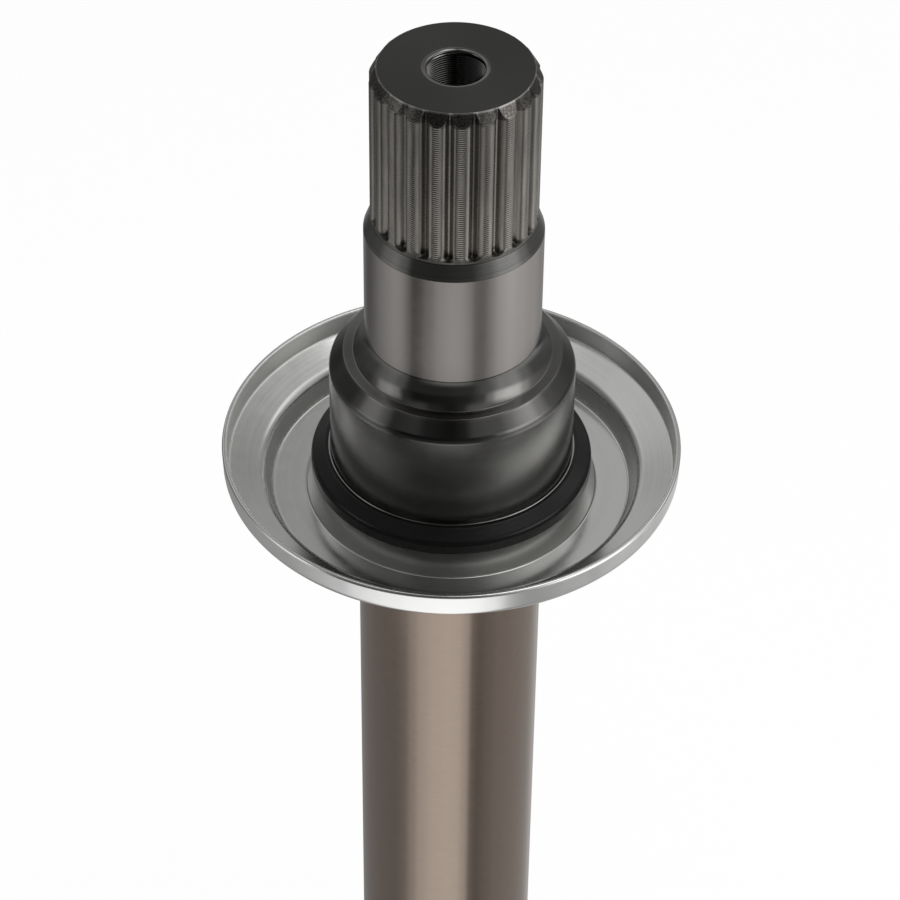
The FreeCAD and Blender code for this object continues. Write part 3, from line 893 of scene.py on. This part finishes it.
def board(graph, turn, levels):
    """Brightness around the room, from pairs of degrees and brightness.

    The degrees go from the viewer's side towards the right, from -180 to 180.
    """
    brightest = max(level for _, level in levels)
    node = graph.node("ShaderNodeValToRGB", None, {0: turn})
    ramp = node.color_ramp
    ramp.interpolation = "EASE"
    ramp.elements.remove(ramp.elements[-1])
    for index, (angle, level) in enumerate(levels):
        position, share = angle / 360 + 0.5, level / brightest
        stop = ramp.elements.new(position) if index else ramp.elements[0]
        stop.position = position
        stop.color = (share, share, share, 1.0)
    return graph.out(node, "Color") * brightest


def boards(graph, turn, along, first, others):
    """Boards that take over from one another as a height or a distance grows."""
    level = board(graph, turn, first)
    for levels, start, end in others:
        level = level + (board(graph, turn, levels) - level) * along.rises(start, end)
    return level


def around(x, y):
    """Share of a full turn, from behind by the left, the viewer's side and the right."""
    return x.math("ARCTAN2", -y) / (2 * math.pi) + 0.5


def light_path(graph, kind):
    return graph.out(graph.node("ShaderNodeLightPath"), kind)


# Brightness of the room by direction: at the horizon, and in the bands above it
HORIZON = (
    (-180, 0.35), (-160, 0.18), (-137, 0.1), (-120, 0.15), (-100, 0.2), (-84, 0.45),
    (-72, 0.55), (-60, 0.35), (-48, 0.08), (-20, 0.08), (20, 0.12), (40, 0.35), (60, 0.9),
    (76, 1.0), (90, 0.55), (105, 0.26), (125, 0.22), (140, 0.2), (155, 0.24), (180, 0.35),
)
WINDOWS = (
    (-180, 0.46), (-165, 0.52), (-150, 0.5), (-135, 0.28), (-115, 0.14), (-100, 0.14),
    (-92, 0.28), (-83, 0.9), (-73, 1.1), (-64, 0.8), (-55, 0.1), (-40, 0.03), (-10, 0.04),
    (16, 0.07), (34, 0.2), (44, 0.8), (53, 1.9), (64, 2.4), (76, 2.3), (86, 1.2),
    (97, 0.5), (112, 0.36), (150, 0.35), (180, 0.46),
)
ABOVE = (
    (-180, 0.5), (-176, 0.36), (-170, 0.22), (-162, 0.26), (-152, 0.62), (-142, 0.7),
    (-132, 0.62), (-120, 0.34), (-105, 0.18), (-80, 0.14), (-60, 0.12), (-48, 0.18), (-36, 0.2),
    (-24, 0.08), (0, 0.04), (12, 0.08), (24, 0.34), (38, 0.44), (52, 0.38), (62, 0.36),
    (72, 0.4), (90, 0.44), (105, 0.6), (120, 0.9), (133, 1.25), (142, 0.6), (150, 0.4),
    (162, 0.3), (168, 0.32), (174, 0.62), (180, 0.5),
)
LOFT = (
    (-180, 0.12), (-170, 0.15), (-162, 0.45), (-152, 0.8), (-140, 0.5), (-120, 0.37),
    (-90, 0.16), (-60, 0.14), (-34, 0.13), (0, 0.13), (24, 0.2), (36, 0.24), (59, 0.38),
    (80, 0.58), (100, 0.95), (118, 1.0), (133, 0.75), (145, 0.48), (158, 0.48), (170, 0.3),
    (180, 0.12),
)
HIGH = (
    (-180, 0.3), (-172, 0.4), (-162, 2.0), (-152, 1.5), (-135, 0.4), (-120, 0.4),
    (-90, 0.18), (-60, 0.16), (-34, 0.09), (0, 0.17), (36, 0.12), (59, 0.4), (80, 0.7),
    (100, 1.3), (140, 2.6), (158, 2.6), (170, 1.2), (180, 0.3),
)
ZENITH = (
    (-180, 0.3), (-150, 0.7), (-115, 0.8), (-92, 0.26), (-70, 0.02), (-20, 0.01), (30, 0.02),
    (55, 0.08), (75, 0.5), (92, 1.7), (130, 2.6), (160, 1.6), (180, 0.3),
)
# Each higher band with the degrees of elevation between which it takes over
HIGHER = (
    (WINDOWS, 0.0, 12.0),
    (ABOVE, 25.0, 38.0),
    (LOFT, 52.0, 57.0),
    (HIGH, 63.0, 66.0),
    (ZENITH, 68.0, 75.0),
)
# Brightness of the floor as metal sees it: near the bar, where the lip shows it, and further out
FLOOR_NEAR = (
    (-180, 0.3), (-130, 0.26), (-70, 0.25), (-58, 0.32), (-46, 0.56), (-34, 0.82), (-18, 0.98),
    (0, 1.03), (12, 1.0), (22, 0.78), (31, 0.28), (38, 0.22), (52, 0.29), (66, 0.35), (90, 0.38),
    (120, 0.41), (150, 0.55), (180, 0.4),
)
FLOOR_RIM = (
    (-180, 0.3), (-130, 0.26), (-84, 0.25), (-76, 0.32), (-66, 0.45), (-56, 0.64), (-46, 0.9),
    (-34, 0.98), (-18, 0.98), (0, 1.03), (12, 1.0), (22, 0.92), (31, 0.42), (38, 0.31),
    (52, 0.29), (62, 0.31), (74, 0.28), (90, 0.4), (120, 0.41), (150, 0.55), (180, 0.4),
)
FLOOR_FAR = (
    (-180, 0.3), (-157, 0.26), (-145, 0.14), (-132, 0.13), (-120, 0.22), (-104, 0.38),
    (-90, 0.52), (-78, 0.62), (-68, 0.58), (-59, 0.34), (-51, 0.08), (-44, 0.1), (-30, 0.32),
    (-16, 0.6), (-2, 0.72), (10, 0.7), (20, 0.54), (29, 0.28), (38, 0.26), (50, 0.52),
    (60, 0.8), (76, 0.94), (95, 0.82), (120, 0.62), (150, 0.35), (180, 0.3),
)
# Each further band with the metres from the shaft between which it takes over
FURTHER = ((FLOOR_RIM, 0.258, 0.274), (FLOOR_FAR, 0.30, 0.35), (HORIZON, 0.40, 0.75))
WHITE = (1.0, 1.0, 1.0, 1.0)
PALE = (0.82, 0.82, 0.82, 1.0)


def dress_world(settings):
    """White to the camera, and a dim room with soft windows at its sides to everything else."""
    world = bpy.data.worlds.new("Studio room")
    bpy.context.scene.world = world
    world.use_nodes = True
    graph = Graph(world.node_tree)
    direction = graph.out(graph.node("ShaderNodeTexCoord"), "Generated")
    x, y, z = graph.separated(direction)
    elevation = z.math("ARCSINE") * math.degrees(1)
    room = boards(graph, around(x, y), elevation, HORIZON, HIGHER)
    camera = light_path(graph, "Is Camera Ray")
    level = room * settings.room_light * (1.0 - camera) + camera
    background = graph.node("ShaderNodeBackground", None, {"Color": WHITE, "Strength": level})
    graph.node("ShaderNodeOutputWorld", None, {"Surface": graph.out(background)})


def floor_material(settings):
    """A pale floor that keeps the shadow; metal sees it as boards of different brightness."""
    material, graph = shader_graph("Pale studio floor")
    _, x, y, _, distance = position_parts(graph, 1.0)
    level = boards(graph, around(x, y), distance, FLOOR_NEAR, FURTHER) * settings.floor_light

    def light(strength):
        sockets = {"Color": WHITE, "Strength": strength}
        return graph.out(graph.node("ShaderNodeEmission", None, sockets))

    def blend(factor, first, second):
        return graph.out(graph.node("ShaderNodeMixShader", None, {0: factor, 1: first, 2: second}))

    pale = graph.out(graph.node("ShaderNodeBsdfDiffuse", None, {"Color": PALE}))
    seen = blend(light_path(graph, "Is Camera Ray") * 0.93, pale, light(1.0))
    surface = blend(light_path(graph, "Is Glossy Ray"), seen, light(level))
    graph.node("ShaderNodeOutputMaterial", None, {"Surface": surface})
    return material


def add_floor(settings):
    half = settings.floor_half_width
    mesh = bpy.data.meshes.new("studio_floor")
    mesh.from_pydata(
        [(-half, -half, 0), (half, -half, 0), (half, half, 0), (-half, half, 0)], [], [(0, 1, 2, 3)]
    )
    floor = bpy.data.objects.new("studio_floor", mesh)
    bpy.context.scene.collection.objects.link(floor)
    mesh.materials.append(floor_material(settings))


def add_lamp(settings):
    """A large soft lamp overhead; the windows of the room alone show in the metal."""
    light = bpy.data.lights.new("overhead_lamp", "AREA")
    light.energy = settings.lamp_power
    light.shape = "DISK"
    light.size = 1.2
    lamp = bpy.data.objects.new("overhead_lamp", light)
    lamp.location = (0.25, -0.35, 1.5)
    aim = Vector((0.0, 0.0, 0.1)) - lamp.location
    lamp.rotation_mode = "QUATERNION"
    lamp.rotation_quaternion = aim.to_track_quat("-Z", "Y")
    lamp.visible_glossy = False
    bpy.context.scene.collection.objects.link(lamp)


def add_camera():
    """The photograph's viewpoint, found from the outlines of the shaft's circles."""
    eye, lens = (-0.000243, -0.44783, 0.65916), 128.117
    pitch, roll = math.radians(41.4417), math.radians(0.68535)
    forward = Vector((0.0, math.cos(pitch), -math.sin(pitch)))
    right = Vector((1.0, 0.0, 0.0))
    up = right.cross(forward)
    across = math.cos(roll) * right + math.sin(roll) * up
    upwards = math.cos(roll) * up - math.sin(roll) * right
    turned = Matrix((across, upwards, -forward)).transposed().to_4x4()
    data = bpy.data.cameras.new("photo_camera")
    data.sensor_width = 36.0
    data.lens = lens
    data.clip_start = 0.01
    data.clip_end = 50.0
    camera = bpy.data.objects.new("photo_camera", data)
    camera.matrix_world = Matrix.Translation(eye) @ turned
    bpy.context.scene.collection.objects.link(camera)
    bpy.context.scene.camera = camera


# Operators and panel


class AXLE_OT_shaft(bpy.types.Operator):
    """Turn the shaft, cut its spline and bore its ends"""

    bl_idname = "axle.shaft"
    bl_label = "Axle Shaft"

    def execute(self, context):
        size = context.scene.axle_shaft_sizes
        outline = tooth_outline(size)
        profile = end_profile(size)
        mouth = math.pi / size.teeth - size.crest_width / 2 / size.tip_radius
        cuts, lifts = [], []
        for x, y, _ in outline:
            cuts.append(height_on(profile, min(math.hypot(x, y), size.tip_radius)))
            share = min(1.0, abs(math.atan2(y, x)) / mouth)
            lifts.append(size.pocket_lift * (1 - math.sqrt(1 - share**2)))
        piece = turned_mesh(
            "turned_shaft",
            shaft_stations(size),
            outline,
            {"cut_height": cuts, "end_lift": lifts},
            size.teeth,
            size.first_gap,
            shaft_material(size, context.scene.axle_shaft_finish),
        )
        shell = bmesh.new()
        shell.from_mesh(piece.data)
        bore_tapped_hole(shell, size)
        bore_turning_centre(shell)
        finish_mesh(piece, shell)
        hand_over(piece, "axle_shaft")
        return {"FINISHED"}


class AXLE_OT_ring(bpy.types.Operator):
    """Turn the black spacer ring that is pressed on below the bearing seat"""

    bl_idname = "axle.ring"
    bl_label = "Spacer Ring"

    def execute(self, context):
        size = context.scene.spacer_ring_sizes
        bore, outside = size.bore_radius, size.outer_radius
        corners = [
            (bore, RING_FOOT, 0.0),
            (bore, RING_TOP, 0.0),
            (bore + size.flat_width, RING_TOP, 0.6 * MM),
            (outside, RING_TOP - size.slope_drop, size.edge_radius),
            (outside, RING_FOOT, 0.0),
            (bore, RING_FOOT, 0.0),
        ]
        material = ring_material(size.tint)
        make_plain_piece("black_ring", corners, 28, material, "spacer_ring")
        return {"FINISHED"}


class AXLE_OT_shield(bpy.types.Operator):
    """Press the dust shield with its collar, step and turned-up lip"""

    bl_idname = "axle.shield"
    bl_label = "Dust Shield"

    def execute(self, context):
        size = context.scene.dust_shield_sizes
        sheet, collar_wall, rim_rounding = size.sheet, 1.1 * MM, 0.45 * MM
        flat = SHIELD_FOOT + sheet
        step_top = flat + size.step_height
        lip_corner = step_top + size.lip_corner_height
        upper = [
            (size.collar_rim_radius, RING_FOOT, 0.0),
            (size.collar_foot_radius, flat, 0.35 * MM),
            (size.step_foot_radius, flat, 0.6 * MM),
            (size.step_top_radius, step_top, 2.4 * MM),
            (size.lip_radius, lip_corner, size.lip_bend),
            (size.lip_radius + size.lip_flare, SHIELD_TOP, rim_rounding),
        ]
        bore = size.collar_rim_radius - collar_wall
        roundings = (0.5 * MM, 1.5 * MM, 0.7 * MM, size.lip_bend + sheet, rim_rounding)
        lower = sheet_underside(upper[1:], sheet, bore, roundings)
        corners = [*upper, *reversed(lower), (bore, RING_FOOT, 0.0), upper[0]]
        material = shield_material(size.tint)
        make_plain_piece("pressed_shield", corners, 36, material, "dust_shield")
        return {"FINISHED"}


class AXLE_OT_stage(bpy.types.Operator):
    """Set up the pale floor, the soft light and the camera"""

    bl_idname = "axle.stage"
    bl_label = "Studio"

    def execute(self, context):
        settings = context.scene.axle_studio
        dress_world(settings)
        add_floor(settings)
        add_lamp(settings)
        add_camera()
        context.scene.view_settings.view_transform = "Standard"
        return {"FINISHED"}


class AXLE_PT_panel(bpy.types.Panel):
    """Sizes, finishes and the buttons that build each piece"""

    bl_label = "Axle Shaft"
    bl_idname = "AXLE_PT_panel"
    bl_space_type = "VIEW_3D"
    bl_region_type = "UI"
    bl_category = "Axle Shaft"

    def draw(self, context):
        for operator, owners in (
            ("axle.shaft", ("axle_shaft_sizes", "axle_shaft_finish")),
            ("axle.ring", ("spacer_ring_sizes",)),
            ("axle.shield", ("dust_shield_sizes",)),
            ("axle.stage", ("axle_studio",)),
        ):
            box = self.layout.box()
            box.operator(operator)
            for owner in owners:
                group = getattr(context.scene, owner)
                for key in group.__annotations__:
                    box.prop(group, key)


GROUPS = {
    "axle_shaft_sizes": AxleShaftSizes,
    "axle_shaft_finish": AxleShaftFinish,
    "spacer_ring_sizes": SpacerRingSizes,
    "dust_shield_sizes": DustShieldSizes,
    "axle_studio": StudioSettings,
}
OPERATORS = (AXLE_OT_shaft, AXLE_OT_ring, AXLE_OT_shield, AXLE_OT_stage)
CLASSES = (*GROUPS.values(), *OPERATORS, AXLE_PT_panel)


def register():
    for each in CLASSES:
        bpy.utils.register_class(each)
    for name, group in GROUPS.items():
        setattr(bpy.types.Scene, name, PointerProperty(type=group))


def unregister():
    for name in GROUPS:
        delattr(bpy.types.Scene, name)
    for each in reversed(CLASSES):
        bpy.utils.unregister_class(each)


def build():
    register()
    bpy.ops.axle.shaft()
    bpy.ops.axle.ring()
    bpy.ops.axle.shield()
    bpy.ops.axle.stage()


if __name__ == "__main__":
    build()
